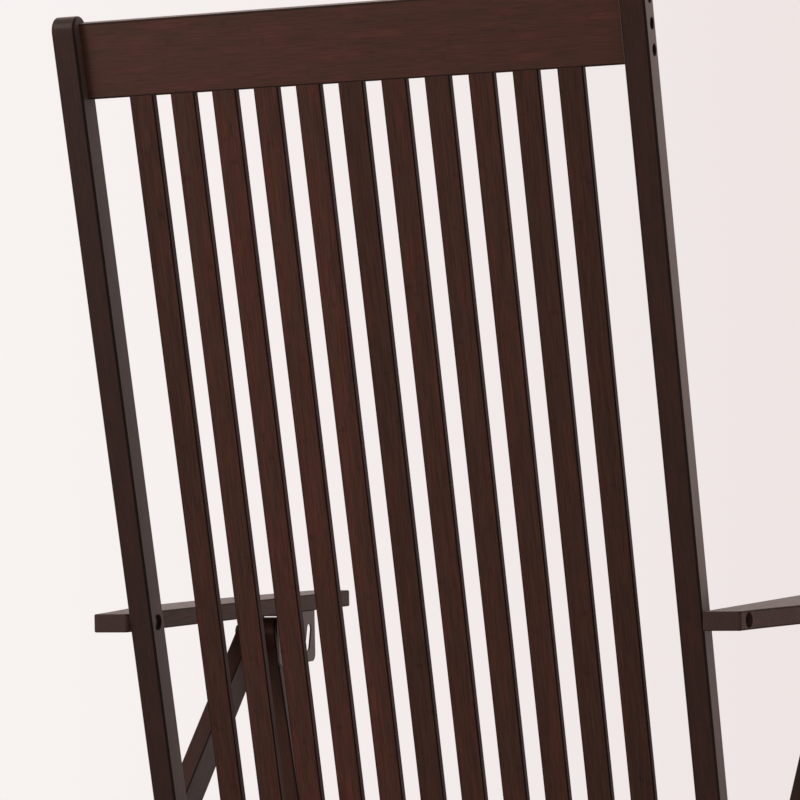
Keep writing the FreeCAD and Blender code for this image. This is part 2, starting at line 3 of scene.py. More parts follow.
import bmesh
import bpy
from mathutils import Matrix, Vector


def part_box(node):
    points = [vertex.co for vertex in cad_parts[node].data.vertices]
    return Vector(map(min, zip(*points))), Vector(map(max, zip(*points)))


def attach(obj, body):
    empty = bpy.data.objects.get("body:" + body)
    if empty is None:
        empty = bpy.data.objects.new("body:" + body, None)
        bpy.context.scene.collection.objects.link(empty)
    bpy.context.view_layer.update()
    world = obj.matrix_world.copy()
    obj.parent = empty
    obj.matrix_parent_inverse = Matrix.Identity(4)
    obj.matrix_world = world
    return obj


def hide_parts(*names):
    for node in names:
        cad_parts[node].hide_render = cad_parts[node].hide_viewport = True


bl_info = {
    "name": "Bamboo Folding Recliner",
    "version": (1, 0, 0),
    "blender": (4, 5, 0),
    "location": "View3D > Sidebar > Recliner",
    "description": "Finishes, fittings and studio for a folding recliner of stained bamboo",
    "category": "Object",
}

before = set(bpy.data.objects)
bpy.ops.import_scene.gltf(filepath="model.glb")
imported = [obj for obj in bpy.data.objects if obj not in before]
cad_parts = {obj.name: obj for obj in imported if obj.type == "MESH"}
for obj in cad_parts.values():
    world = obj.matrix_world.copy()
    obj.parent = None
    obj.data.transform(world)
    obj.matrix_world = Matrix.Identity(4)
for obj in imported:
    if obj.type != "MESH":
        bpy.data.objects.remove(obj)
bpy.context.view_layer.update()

MM = 0.001
QUARTER = math.radians(90)
SIDES = ("left", "right")
SLATS = [f"{number:02d}" for number in range(1, 12)]

# Sockets of a Mix node set to colours, whose names it shares with its other types
SHARE, UNDER, OVER, MIXED = 0, 6, 7, 2

# Millimetres along X from the chair's middle, as in the CAD. Heads and spacers are start, end and
# radius, and a washer and its nut follow from where the washer starts.
BOLT_HEADS = {"apex": (278.6, 280.2, 7.0), "crossing": (225.7, 228.7, 8.0)}
SPACERS = {"apex": (299.3, 300.5, 10.0), "crossing": (273.9, 300.2, 16.0)}
WASHER_STARTS = {"apex": 319.0, "crossing": 319.3}
THIN_WASHER = (249.3, 250.7)
PAD_INNER_SIDES = {"rear": 302.5, "front": 282.5}

# Roundings of the bolts' parts, as multiples of the other edges' rounding
HEAD_RIM, SHANK_RIM, NUT_RIM = 1.5, 2.0, 2.2
# What a nut's corners are turned down to, as a share of their radius
NUT_SHARE = 0.99
# Depth of a bolt's hex socket and how far its cutter starts outside, in millimetres, and the
# socket's radius as a share of the bolt's
SOCKET_DEPTH, SOCKET_START, SOCKET_SHARE = 2, 1, 0.6
# Lower and upper edge of the groove round a pad, as shares of the pad's height
GROOVE_EDGES = (0.4, 0.65)

# Points nearer than this are one point, edges turned by less than this are flat, and a face is
# square to an axis where its normal has more than this along it
MERGE_DISTANCE = 0.01 * MM
FLAT_ANGLE = math.radians(1)
SQUARE = 0.99
# Edges turned by more than these get a rounding, and stay sharp in shading
ROUNDED_ANGLE = math.radians(40)
SHARP_ANGLE = math.radians(35)

FLOOR_RADIUS = 6.0
CHAIR_MIDDLE = Vector((0.0, 0.1, 0.75))
CAMERA_PLACE = (-1.0523, 2.9575, 0.5818)
CAMERA_DIRECTION = Vector((0.3549, -0.9318, 0.0764))
SENSOR_WIDTH = 36.0
# Each lamp's place, its diameter in metres and the setting of its power
LAMPS = {
    "key_lamp": ((1.6, 2.4, 2.6), 1.8, "key_power"),
    "side_lamp": ((-2.6, 0.4, 1.6), 1.4, "side_power"),
    "top_lamp": ((-0.4, -1.4, 2.8), 1.8, "side_power"),
    "low_lamp": ((2.0, 2.8, 0.35), 0.8, "side_power"),
}


def linear(hex_colour):
    """An sRGB hex colour as linear red, green and blue."""
    parts = [int(hex_colour[start:start + 2], 16) / 255 for start in (1, 3, 5)]
    return [p / 12.92 if p <= 0.04045 else ((p + 0.055) / 1.055) ** 2.4 for p in parts]


def colour(name, description, hex_colour):
    return bpy.props.FloatVectorProperty(
        name=name, description=description, subtype="COLOR", size=3, min=0, max=1,
        default=linear(hex_colour),
    )


def length(name, description, millimetres):
    return bpy.props.FloatProperty(
        name=name, description=description, subtype="DISTANCE", unit="LENGTH", min=0,
        default=millimetres * MM,
    )


def fraction(name, description, value):
    return bpy.props.FloatProperty(
        name=name, description=description, subtype="FACTOR", min=0, max=1, default=value,
    )


def angle(name, description, degrees):
    return bpy.props.FloatProperty(
        name=name, description=description, subtype="ANGLE", unit="ROTATION",
        default=math.radians(degrees),
    )


def power(name, description, watts):
    return bpy.props.FloatProperty(
        name=name, description=description, unit="POWER", min=0, default=watts,
    )


class BambooSettings(bpy.types.PropertyGroup):
    stain: colour("Stain", "Main tone of the stained bamboo", "#3C2219")
    stain_red: colour("Warm stain", "Redder tone of patches in the wood", "#45241B")
    slat_stain: colour("Slat stain", "Main tone of the back's slats and the arms", "#3C2720")
    slat_stain_red: colour("Warm slat stain", "Redder tone of patches in them", "#482820")
    stain_end: colour("End grain", "Tone of the sawn ends", "#3A2B27")
    stain_dark: colour("Dark fibres", "Tone of the fibres that took up most stain", "#1D100C")
    fibre: length("Fibre width", "Width of one fibre bundle", 1.0)
    lamella: length("Lamella width", "Width of the strips that a board is glued from", 6.0)
    internode: length("Internode", "Distance between the knuckles of the cane in a strip", 270.0)
    slat_pitch: length("Slat pitch", "Distance between the middles of neighbouring slats", 39.9)
    slat_seed: bpy.props.IntProperty(
        name="Slat seed", description="Picks which slats are lighter and which darker",
        default=2239,
    )
    roughness: fraction("Roughness", "Roughness of the satin lacquer", 0.42)
    gloss: fraction("Gloss", "Strength of the lacquer's reflection", 0.1)
    bloom: fraction("Bloom", "Pale bloom of the wax that shows at a grazing angle", 0.3)
    bloom_tint: colour("Bloom tint", "Tone of that bloom", "#FFE3DA")
    back_lean: angle("Back lean", "Lean of the backrest from upright", 18.0)
    arm_rise: angle("Arm rise", "Rise of the arms to the front", 3.3)
    seat_rise: angle("Seat rise", "Rise of the seat to the front", 5.5)
    rear_leg_slope: angle("Rear leg slope", "Slope of the rear legs from upright", 45.3)
    front_leg_slope: angle("Front leg slope", "Slope of the front legs from upright", 21.0)


class MetalSettings(bpy.types.PropertyGroup):
    bracket: colour("Bracket paint", "Powder coat of the arm brackets", "#4A3630")
    steel: colour("Steel", "Blackened steel of bolts and screws", "#4B4744")
    steel_roughness: fraction("Steel roughness", "Roughness of the blackened steel", 0.38)


class BoltSettings(bpy.types.PropertyGroup):
    shank: length("Bolt radius", "Radius of the bolts", 4.0)
    washer: length("Washer radius", "Radius of the washers", 9.0)
    washer_height: length("Washer thickness", "Thickness of a washer", 1.6)
    nut: length("Nut radius", "Radius over the corners of a nut", 7.5)
    nut_height: length("Nut height", "Height of a nut", 6.5)
    broken_edge: length("Broken edge", "Rounding of the edges of steel parts", 0.4)


class PadSettings(bpy.types.PropertyGroup):
    rubber: colour("Rubber", "Colour of the foot pads", "#1C1A19")
    corner: length("Pad corner", "Rounding of a pad's upright corners", 3.0)
    rim: length("Pad rim", "Rounding of a pad's lower rim", 0.5)
    groove: length("Groove depth", "Depth of the groove round a pad", 0.6)


class StageSettings(bpy.types.PropertyGroup):
    floor: colour("Floor", "Colour of the floor", "#EBE3E0")
    backdrop: colour("Backdrop", "Colour behind the chair, on its lit side", "#F8F2F1")
    backdrop_shade: colour("Shaded backdrop", "Colour on its other side", "#EDE4E2")
    fade_start: length("Floor fade start", "Distance at which the floor starts to fade", 900.0)
    fade_end: length("Floor fade end", "Distance at which it has the backdrop's colour", 3200.0)
    ambient: fraction("Ambient light", "Level of the even light from all round", 0.5)
    key_power: power("Key light", "Power of the large lamp above and behind the chair", 70.0)
    side_power: power("Side light", "Power of each of the weaker lamps round the chair", 12.0)
    lens: bpy.props.FloatProperty(
        name="Lens", description="Focal length for a sensor 36 mm wide",
        subtype="DISTANCE_CAMERA", min=1, default=149.4,
    )


def settings(name):
    return getattr(bpy.context.scene, name)


# Nodes and materials

def fill(node, inputs):
    """Link the inputs that are given as sockets and set the others."""
    for key, value in inputs.items():
        if isinstance(value, bpy.types.NodeSocket):
            node.id_data.links.new(value, node.inputs[key])
        else:
            node.inputs[key].default_value = value


def add(tree, kind, inputs=None, **values):
    """Add a node with its settings and inputs."""
    node = tree.nodes.new(kind)
    for key, value in values.items():
        setattr(node, key, value)
    fill(node, inputs or {})
    return node


def new_material(name):
    material = bpy.data.materials.new(name)
    material.use_nodes = True
    return material, material.node_tree, material.node_tree.nodes["Principled BSDF"]


def finish_node(name, material):
    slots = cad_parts[name].material_slots
    if not slots:
        raise RuntimeError(f"{name} has no material slot")
    for slot in slots:
        slot.material = material


def rgba(values):
    return (values[0], values[1], values[2], 1.0)


def stained_bamboo(
    name, rotation, stain="stain", tone=1.0, tone_range=0.0, bloom=1.0, gloss=1.0
):
    """Laminated bamboo with a dark stain and satin lacquer. Short dark fibres run along the board,
    small patches are redder, each glued strip and each slat has its own tone, a faint band marks
    the cane's knuckles, the rounded edges are darkest, from stain gathered there and from
    painted shade, and the sawn ends are greyer."""
    look = settings("recliner_bamboo")
    material, tree, shader = new_material(name)
    coordinates = add(tree, "ShaderNodeTexCoord")
    place = coordinates.outputs["Object"]
    board = add(tree, "ShaderNodeMapping", {"Vector": place, "Rotation": rotation}).outputs[0]

    # Fibres, longer dashes among them and broad patches, each drawn out along the board
    grain = {}
    for part, width, stretch, detail, roughness in (
        ("fibres", look.fibre, 30, 2.0, 0.6),
        ("dashes", 1.5 * look.fibre, 18, 2.0, 0.7),
        ("patches", 9.0 * look.fibre, 6, 4.0, 0.65),
    ):
        drawn = add(
            tree, "ShaderNodeVectorMath", {0: board, 1: (1, 1, 1 / stretch)},
            operation="MULTIPLY",
        )
        noise = add(
            tree, "ShaderNodeTexNoise",
            {"Vector": drawn.outputs[0], "Scale": 1 / width, "Detail": detail,
             "Roughness": roughness},
        )
        grain[part] = noise.outputs["Fac"]

    # A number from 0 to 1 for each slat, and one for each glued strip in a board
    counts = {
        "slat": add(
            tree, "ShaderNodeVectorMath",
            {0: place, 1: (1 / look.slat_pitch, 0, 0), 2: (0.5, look.slat_seed + 0.5, 0.5)},
            operation="MULTIPLY_ADD",
        ),
        "strip": add(
            tree, "ShaderNodeVectorMath",
            {0: board, 1: (1 / look.lamella, 1 / look.lamella, 0)}, operation="MULTIPLY",
        ),
    }
    number = {}
    for part, count in counts.items():
        whole = add(tree, "ShaderNodeVectorMath", {0: count.outputs[0]}, operation="FLOOR")
        picked = add(tree, "ShaderNodeTexWhiteNoise", {"Vector": whole.outputs[0]})
        number[part] = picked.outputs["Value"]

    # How far a surface is turned between two sides of its board: 0 on a side, more on a rounding
    facing = add(
        tree, "ShaderNodeVectorRotate",
        {"Vector": coordinates.outputs["Normal"], "Rotation": rotation},
        rotation_type="EULER_XYZ",
    )
    sizes = add(tree, "ShaderNodeVectorMath", {0: facing.outputs[0]}, operation="ABSOLUTE")
    across = add(tree, "ShaderNodeSeparateXYZ", {0: sizes.outputs[0]})
    turned = add(
        tree, "ShaderNodeMath", {0: across.outputs["X"], 1: across.outputs["Y"]},
        operation="MINIMUM",
    )
    rounding = {"Value": turned.outputs[0], "From Min": 0.03, "From Max": 0.25}

    # Shares of the warm patches, the sawn ends and the fibres with the dashes among them
    warmth = add(
        tree, "ShaderNodeMath",
        {0: number["slat"], 1: 0.16 * tone_range, 2: grain["patches"]},
        operation="MULTIPLY_ADD",
    )
    warm = add(
        tree, "ShaderNodeMapRange",
        {"Value": warmth.outputs[0], "From Min": 0.5, "From Max": 0.68 + 0.12 * tone_range},
    )
    sawn = add(
        tree, "ShaderNodeMapRange",
        {"Value": across.outputs["Z"], "From Min": 0.7, "From Max": 0.95},
    )
    fine = add(
        tree, "ShaderNodeMapRange",
        {"Value": grain["fibres"], "From Min": 0.4, "From Max": 0.68, "To Max": 0.5},
    )
    dashed = add(
        tree, "ShaderNodeMapRange",
        {"Value": grain["dashes"], "From Min": 0.56, "From Max": 0.68, "To Max": 0.5},
    )
    dark = add(
        tree, "ShaderNodeMath", {0: fine.outputs[0], 1: dashed.outputs[0]}, operation="MAXIMUM"
    )

    # Each tone laid over the plain stain
    wood = rgba(getattr(look, stain))
    for share, over in (
        (warm, getattr(look, f"{stain}_red")),
        (sawn, look.stain_end),
        (dark, look.stain_dark),
    ):
        laid = add(
            tree, "ShaderNodeMix", {SHARE: share.outputs[0], UNDER: wood, OVER: rgba(over)},
            data_type="RGBA",
        )
        wood = laid.outputs[MIXED]

    # Level of each strip and slat, about the board's tone
    strip_spread = 0.06
    slat_spread = 0.12 * tone_range
    strip_level = add(
        tree, "ShaderNodeMapRange",
        {"Value": number["strip"], "To Min": tone - strip_spread - slat_spread,
         "To Max": tone + strip_spread - slat_spread},
    )
    slat_level = add(
        tree, "ShaderNodeMath",
        {0: number["slat"], 1: 2 * slat_spread, 2: strip_level.outputs[0]},
        operation="MULTIPLY_ADD",
    )

    # Darker at the knuckles of the cane, which are at another height in each strip
    along = add(tree, "ShaderNodeSeparateXYZ", {0: board}).outputs["Z"]
    start = add(tree, "ShaderNodeMath", {0: number["strip"], 1: 3.0}, operation="MULTIPLY")
    height = add(
        tree, "ShaderNodeMath", {0: along, 1: 1 / look.internode, 2: start.outputs[0]},
        operation="MULTIPLY_ADD",
    )
    apart = add(tree, "ShaderNodeMath", {0: height.outputs[0], 1: 0.5}, operation="PINGPONG")
    knuckle = add(
        tree, "ShaderNodeMapRange",
        {"Value": apart.outputs[0], "From Max": 0.012, "To Min": 0.82, "To Max": 1.0},
    )

    # Darker along the roundings: stain gathered there, and painted shade on the turned edges
    edge = add(tree, "ShaderNodeMapRange", {**rounding, "To Min": 1.0, "To Max": 0.3})
    level = slat_level.outputs[0]
    for darker in (knuckle, edge):
        product = add(
            tree, "ShaderNodeMath", {0: level, 1: darker.outputs[0]}, operation="MULTIPLY"
        )
        level = product.outputs[0]
    toned = add(tree, "ShaderNodeVectorMath", {0: wood, "Scale": level}, operation="SCALE")

    # Lacquer that sinks a little into the fibres and is dull where it was rubbed on the edges
    sunk = add(
        tree, "ShaderNodeMapRange",
        {"Value": grain["fibres"], "From Min": 0.3, "From Max": 0.7,
         "To Min": look.roughness - 0.05, "To Max": look.roughness + 0.08},
    )
    rubbed = add(tree, "ShaderNodeMapRange", {**rounding, "To Max": 0.3})
    rough = add(
        tree, "ShaderNodeMath", {0: sunk.outputs[0], 1: rubbed.outputs[0]}, operation="ADD"
    )
    bump = add(
        tree, "ShaderNodeBump",
        {"Height": grain["fibres"], "Strength": 0.3, "Distance": 0.15 * MM},
    )
    fill(shader, {
        "Base Color": toned.outputs[0],
        "Roughness": rough.outputs[0],
        "Normal": bump.outputs[0],
        "Specular IOR Level": look.gloss * gloss,
        "Sheen Weight": look.bloom * bloom,
        "Sheen Roughness": 0.35,
        "Sheen Tint": rgba(look.bloom_tint),
    })
    return material


class RECLINER_OT_boards(bpy.types.Operator):
    """Stain and lacquer the boards, with the grain along each"""
    bl_idname = "recliner.boards"
    bl_label = "Boards"

    def execute(self, context):
        look = settings("recliner_bamboo")
        back, front = look.back_lean, look.front_leg_slope
        rear, seat = -look.rear_leg_slope, look.seat_rise
        slat = {"stain": "slat_stain", "tone_range": 1.0, "bloom": 0.1, "gloss": 0.4}
        arm = {"stain": "slat_stain", "bloom": 0.75, "gloss": 0.5}

        # Name, turn that brings the board's length to Z, finish and nodes
        boards = (
            ("stile", (back, 0, 0), {"tone": 0.55, "bloom": 1.9}, self.pair("back_stile")),
            ("back_slat", (back, 0, 0), slat, [f"back_slat_{number}" for number in SLATS]),
            ("back_rail", (back, -QUARTER, 0), {"tone": 1.08},
             ["back_top_rail", "back_bottom_rail"]),
            ("arm", (QUARTER + look.arm_rise, 0, 0), arm, self.pair("arm")),
            ("seat", (QUARTER + seat, 0, 0), {},
             self.pair("seat_side_rail") + self.pair("seat_stop_block")
             + [f"seat_slat_{number}" for number in SLATS]),
            ("seat_rail", (seat, -QUARTER, 0), {}, ["seat_rear_rail", "seat_front_rail"]),
            ("rear_leg", (rear, 0, 0), {"tone": 0.74}, self.pair("rear_leg")),
            ("rear_rail", (rear, -QUARTER, 0), {}, ["rear_leg_rail"]),
            ("front_leg", (front, 0, 0), {}, self.pair("front_leg")),
            ("front_rail", (front, -QUARTER, 0), {}, ["seat_support_bar", "front_leg_rail"]),
        )
        for name, rotation, finish, nodes in boards:
            bamboo = stained_bamboo(f"stained_bamboo_{name}", rotation, **finish)
            for node in nodes:
                finish_node(node, bamboo)
        return {"FINISHED"}

    def pair(self, board):
        return [f"{side}_{board}" for side in SIDES]


def fine_skin(tree, shader, grain, strength):
    """A shallow bump of fine grains, of a size in millimetres, that breaks up the gloss."""
    place = add(tree, "ShaderNodeTexCoord").outputs["Object"]
    noise = add(tree, "ShaderNodeTexNoise", {"Vector": place, "Scale": 1 / (grain * MM)})
    bump = add(
        tree, "ShaderNodeBump",
        {"Height": noise.outputs["Fac"], "Strength": strength, "Distance": 0.05 * MM},
    )
    fill(shader, {"Normal": bump.outputs[0]})


def powder_coat(name):
    """Steel sheet under a matt powder coat: an even colour with a fine orange-peel skin."""
    material, tree, shader = new_material(name)
    fine_skin(tree, shader, grain=0.8, strength=0.2)
    fill(shader, {
        "Base Color": rgba(settings("recliner_metal").bracket),
        "Roughness": 0.45,
        "Specular IOR Level": 0.35,
    })
    return material


def blackened_steel(name):
    """Steel with a black oxide and a film of oil: dark, half glossy, a little uneven."""
    look = settings("recliner_metal")
    material, tree, shader = new_material(name)
    place = add(tree, "ShaderNodeTexCoord").outputs["Object"]
    stains = add(
        tree, "ShaderNodeTexNoise", {"Vector": place, "Scale": 1 / (3 * MM), "Detail": 3.0}
    )
    rough = add(
        tree, "ShaderNodeMapRange",
        {"Value": stains.outputs["Fac"], "From Min": 0.3, "From Max": 0.7,
         "To Min": look.steel_roughness - 0.08, "To Max": look.steel_roughness + 0.12},
    )
    fill(shader, {
        "Base Color": rgba(look.steel),
        "Roughness": rough.outputs[0],
        "Metallic": 1.0,
    })
    return material


def pad_rubber(name):
    """Moulded rubber: nearly black, dull, with a faint grain."""
    material, tree, shader = new_material(name)
    fine_skin(tree, shader, grain=0.6, strength=0.3)
    fill(shader, {"Base Color": rgba(settings("recliner_pads").rubber), "Roughness": 0.75})
    return material


# Fittings

def activate(piece):
    bpy.ops.object.select_all(action="DESELECT")
    piece.select_set(True)
    bpy.context.view_layer.objects.active = piece


def named(piece, name):
    piece.name = name
    piece.data.name = name
    return piece


def pick(piece, kind, wanted):
    """In edit mode, select the faces or edges of a piece for which wanted holds."""
    bpy.ops.object.mode_set(mode="EDIT")
    bpy.ops.mesh.select_mode(type=kind)
    bpy.ops.mesh.select_all(action="DESELECT")
    mesh = bmesh.from_edit_mesh(piece.data)
    for part in {"EDGE": mesh.edges, "FACE": mesh.faces}[kind]:
        part.select_set(wanted(part))
    mesh.select_flush_mode()
    bmesh.update_edit_mesh(piece.data)


def apply_modifier(piece, kind, **values):
    """Add a modifier with its settings to the active piece and apply it."""
    bpy.ops.object.modifier_add(type=kind)
    modifier = piece.modifiers[-1]
    for key, value in values.items():
        setattr(modifier, key, value)
    bpy.ops.object.modifier_apply(modifier=modifier.name)


def turned_part(radius, start, end, centre, rim=0.0, corners=64):
    """A round or six-sided part along X, from start to end, with rounded rims."""
    bpy.ops.mesh.primitive_cylinder_add(
        vertices=corners, radius=radius, depth=end - start,
        location=((start + end) / 2, centre.y, centre.z), rotation=(0, QUARTER, 0),
    )
    part = bpy.context.active_object
    bpy.ops.object.transform_apply()
    if rim:
        pick(part, "FACE", lambda face: abs(face.normal.x) > SQUARE)
        bpy.ops.mesh.bevel(offset=rim, segments=3, affect="EDGES")
        bpy.ops.object.mode_set(mode="OBJECT")
    return part


def cut_with(part, cutter, operation):
    """Apply a boolean with another part, which is used up."""
    activate(part)
    apply_modifier(part, "BOOLEAN", operation=operation, object=cutter, solver="EXACT")
    bpy.data.objects.remove(cutter)


def joined(name, parts):
    """Several parts as one piece."""
    activate(parts[0])
    for part in parts:
        part.select_set(True)
    bpy.ops.object.join()
    return named(bpy.context.active_object, name)


def on_both_sides(piece):
    """Mirror a piece to the chair's other side."""
    activate(piece)
    apply_modifier(piece, "MIRROR")
    bpy.ops.object.mode_set(mode="EDIT")
    bpy.ops.mesh.select_all(action="SELECT")
    bpy.ops.mesh.normals_make_consistent(inside=False)
    bpy.ops.object.mode_set(mode="OBJECT")
    return piece


def fit(piece, body, material, node):
    """Finish a piece and let it ride in the place of a CAD node. Weighted normals keep its flats
    flat beside the rounded edges."""
    activate(piece)
    bpy.ops.object.shade_smooth_by_angle(angle=SHARP_ANGLE)
    apply_modifier(piece, "WEIGHTED_NORMAL", keep_sharp=True)
    piece.data.materials.clear()
    piece.data.materials.append(material)
    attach(piece, body)
    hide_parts(node)


def with_broken_edges(node, name):
    """A copy of a CAD node, its loose triangles merged and its sharp edges rounded."""
    piece = bpy.data.objects.new(name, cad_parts[node].data.copy())
    bpy.context.scene.collection.objects.link(piece)
    activate(named(piece, name))
    bpy.ops.object.mode_set(mode="EDIT")
    bpy.ops.mesh.select_all(action="SELECT")
    bpy.ops.mesh.remove_doubles(threshold=MERGE_DISTANCE)
    bpy.ops.mesh.dissolve_limited(angle_limit=FLAT_ANGLE)
    bpy.ops.object.mode_set(mode="OBJECT")
    apply_modifier(
        piece, "BEVEL", width=settings("recliner_bolts").broken_edge, segments=2,
        limit_method="ANGLE", angle_limit=ROUNDED_ANGLE, use_clamp_overlap=False,
    )
    return piece


class RECLINER_OT_brackets(bpy.types.Operator):
    """Brackets under the arms, pressed from sheet steel and powder coated"""
    bl_idname = "recliner.brackets"
    bl_label = "Brackets"

    def execute(self, context):
        paint = powder_coat("powder_coated_steel")
        for side in SIDES:
            node = f"{side}_arm_bracket"
            piece = with_broken_edges(node, f"{side}_pressed_bracket")
            fit(piece, f"{side}_arm", paint, node)
        return {"FINISHED"}


class RECLINER_OT_bolts(bpy.types.Operator):
    """Bolts of the legs, with heads, spacers, washers and nuts"""
    bl_idname = "recliner.bolts"
    bl_label = "Bolts"

    def execute(self, context):
        steel = blackened_steel("blackened_steel_bolts")
        for place, body in (("apex", "rear_frame"), ("crossing", "crossing_bolts")):
            fit(self.bolt(place), body, steel, f"{place}_bolts")
        return {"FINISHED"}

    def bolt(self, place):
        """The bolts at one place of both legs. Those of the crossing have a thin washer more,
        between seat rail and stile, and a hex socket in their heads."""
        look = settings("recliner_bolts")
        low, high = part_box(f"{place}_bolts")
        centre = (low + high) / 2
        rim = look.broken_edge
        head_start, head_end, head_radius = BOLT_HEADS[place]
        spacer_start, spacer_end, spacer_radius = SPACERS[place]
        washer_start = WASHER_STARTS[place] * MM
        washer_end = washer_start + look.washer_height
        nut_end = washer_end + look.nut_height

        nut = turned_part(look.nut, washer_end, nut_end, centre, corners=6)
        chamfer = turned_part(
            NUT_SHARE * look.nut, washer_end, nut_end, centre, rim=NUT_RIM * rim
        )
        cut_with(nut, chamfer, "INTERSECT")
        head = turned_part(
            head_radius * MM, head_start * MM, head_end * MM, centre, rim=HEAD_RIM * rim
        )
        parts = [
            nut,
            head,
            turned_part(look.shank, head_end * MM, high.x, centre, rim=SHANK_RIM * rim),
            turned_part(look.washer, washer_start, washer_end, centre, rim=rim),
            turned_part(
                spacer_radius * MM, spacer_start * MM, spacer_end * MM, centre, rim=rim
            ),
        ]
        if place == "crossing":
            start, end = THIN_WASHER
            parts.append(turned_part(look.washer, start * MM, end * MM, centre, rim=rim))
            socket = turned_part(
                SOCKET_SHARE * look.shank, (head_start - SOCKET_START) * MM,
                (head_start + SOCKET_DEPTH) * MM, centre, corners=6,
            )
            cut_with(head, socket, "DIFFERENCE")
        return on_both_sides(joined(f"{place}_bolts_with_nuts", parts))


class RECLINER_OT_screws(bpy.types.Operator):
    """Pins of the arms and all screws, with rounded heads"""
    bl_idname = "recliner.screws"
    bl_label = "Pins and screws"

    def execute(self, context):
        steel = blackened_steel("blackened_steel_screws")
        bodies = {
            "back_rail_screws": "backrest",
            "rear_rail_screws": "rear_frame",
            "front_rail_screws": "front_frame",
            "seat_screws": "seat",
        }
        for side in SIDES:
            bodies[f"{side}_bracket_screws"] = f"{side}_arm"
            bodies[f"{side}_arm_pin"] = f"{side}_arm_pin"
        for node, body in bodies.items():
            piece = with_broken_edges(node, f"{node}_blackened")
            fit(piece, body, steel, node)
        return {"FINISHED"}


class RECLINER_OT_foot_pads(bpy.types.Operator):
    """Rubber pads under the legs, grooved round their sides"""
    bl_idname = "recliner.foot_pads"
    bl_label = "Foot pads"

    def execute(self, context):
        rubber = pad_rubber("moulded_rubber")
        for legs in ("rear", "front"):
            fit(self.pads(legs), f"{legs}_frame", rubber, f"{legs}_foot_pads")
        return {"FINISHED"}

    def pads(self, legs):
        """Blocks with rounded corners, a groove in their sides and a rounded lower rim."""
        look = settings("recliner_pads")
        low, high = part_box(f"{legs}_foot_pads")
        inner = PAD_INNER_SIDES[legs] * MM
        height = high.z - low.z
        bpy.ops.mesh.primitive_cube_add(
            size=1.0, scale=(high.x - inner, high.y - low.y, height),
            location=((inner + high.x) / 2, (low.y + high.y) / 2, (low.z + high.z) / 2),
        )
        piece = named(bpy.context.active_object, f"{legs}_grooved_pads")
        bpy.ops.object.transform_apply()

        def is_upright(edge):
            start, end = (vertex.co for vertex in edge.verts)
            return abs(start.z - end.z) > height / 2

        def is_grooved(face):
            lower, upper = (low.z + share * height for share in GROOVE_EDGES)
            return abs(face.normal.z) < SQUARE and lower < face.calc_center_median().z < upper

        def is_underside(face):
            return face.normal.z < -SQUARE and face.calc_center_median().z < low.z + height / 2

        pick(piece, "EDGE", is_upright)
        bpy.ops.mesh.bevel(offset=look.corner, segments=6, affect="EDGES")
        for share in GROOVE_EDGES:
            bpy.ops.mesh.select_all(action="SELECT")
            bpy.ops.mesh.bisect(
                plane_co=(0, 0, low.z + share * height), plane_no=(0, 0, 1)
            )
        pick(piece, "FACE", is_grooved)
        bpy.ops.mesh.extrude_region_shrink_fatten(
            TRANSFORM_OT_shrink_fatten={"value": -look.groove}
        )
        pick(piece, "FACE", is_underside)
        bpy.ops.mesh.bevel(offset=look.rim, segments=3, affect="EDGES")
        bpy.ops.mesh.select_all(action="SELECT")
        bpy.ops.mesh.remove_doubles(threshold=MERGE_DISTANCE)
        bpy.ops.mesh.normals_make_consistent(inside=False)
        bpy.ops.object.mode_set(mode="OBJECT")
        return on_both_sides(piece)


# Studio

def backdrop_tone(tree, direction, look):
    """Colour behind the chair for a direction: a little darker on one side."""
    across = add(tree, "ShaderNodeSeparateXYZ", {0: direction}).outputs["X"]
    side = add(
        tree, "ShaderNodeMapRange", {"Value": across, "From Min": 0.22, "From Max": 0.46}
    )
    tone = add(
        tree, "ShaderNodeMix",
        {SHARE: side.outputs[0], UNDER: rgba(look.backdrop_shade), OVER: rgba(look.backdrop)},
        data_type="RGBA",
    )
    return tone.outputs[MIXED]


def backdrop_shown(tree):
    """1 where a ray shows the backdrop: to the camera, in reflections and through glass."""
    light_path = add(tree, "ShaderNodeLightPath")
    seen = add(
        tree, "ShaderNodeMath",
        {0: light_path.outputs["Is Camera Ray"], 1: light_path.outputs["Is Glossy Ray"]},
        operation="MAXIMUM",
    )
    shown = add(
        tree, "ShaderNodeMath",
        {0: seen.outputs[0], 1: light_path.outputs["Is Transmission Ray"]},
        operation="MAXIMUM",
    )
    return shown.outputs[0]


def studio_floor(name, look):
    """Smooth painted studio floor, pale and matt. Away from the chair it runs into the backdrop's
    colour, so that no edge shows between them."""
    material, tree, shader = new_material(name)
    fill(shader, {"Base Color": rgba(look.floor), "Roughness": 0.9})
    place = add(tree, "ShaderNodeTexCoord").outputs["Object"]
    distance = add(tree, "ShaderNodeVectorMath", {0: place}, operation="LENGTH")
    far = add(
        tree, "ShaderNodeMapRange",
        {"Value": distance.outputs["Value"], "From Min": look.fade_start,
         "From Max": look.fade_end},
        interpolation_type="SMOOTHSTEP",
    )
    share = add(
        tree, "ShaderNodeMath", {0: far.outputs[0], 1: backdrop_shown(tree)},
        operation="MULTIPLY",
    )
    direction = add(tree, "ShaderNodeVectorMath", {0: place}, operation="NORMALIZE")
    plain = add(
        tree, "ShaderNodeEmission", {"Color": backdrop_tone(tree, direction.outputs[0], look)}
    )
    mix = add(
        tree, "ShaderNodeMixShader",
        {0: share.outputs[0], 1: shader.outputs[0], 2: plain.outputs[0]},
    )
    fill(tree.nodes["Material Output"], {"Surface": mix.outputs[0]})
    return material


def aim(thing, direction):
    """Turn a lamp or the camera to look along a direction, upright."""
    thing.rotation_euler = direction.to_track_quat("-Z", "Y").to_euler()


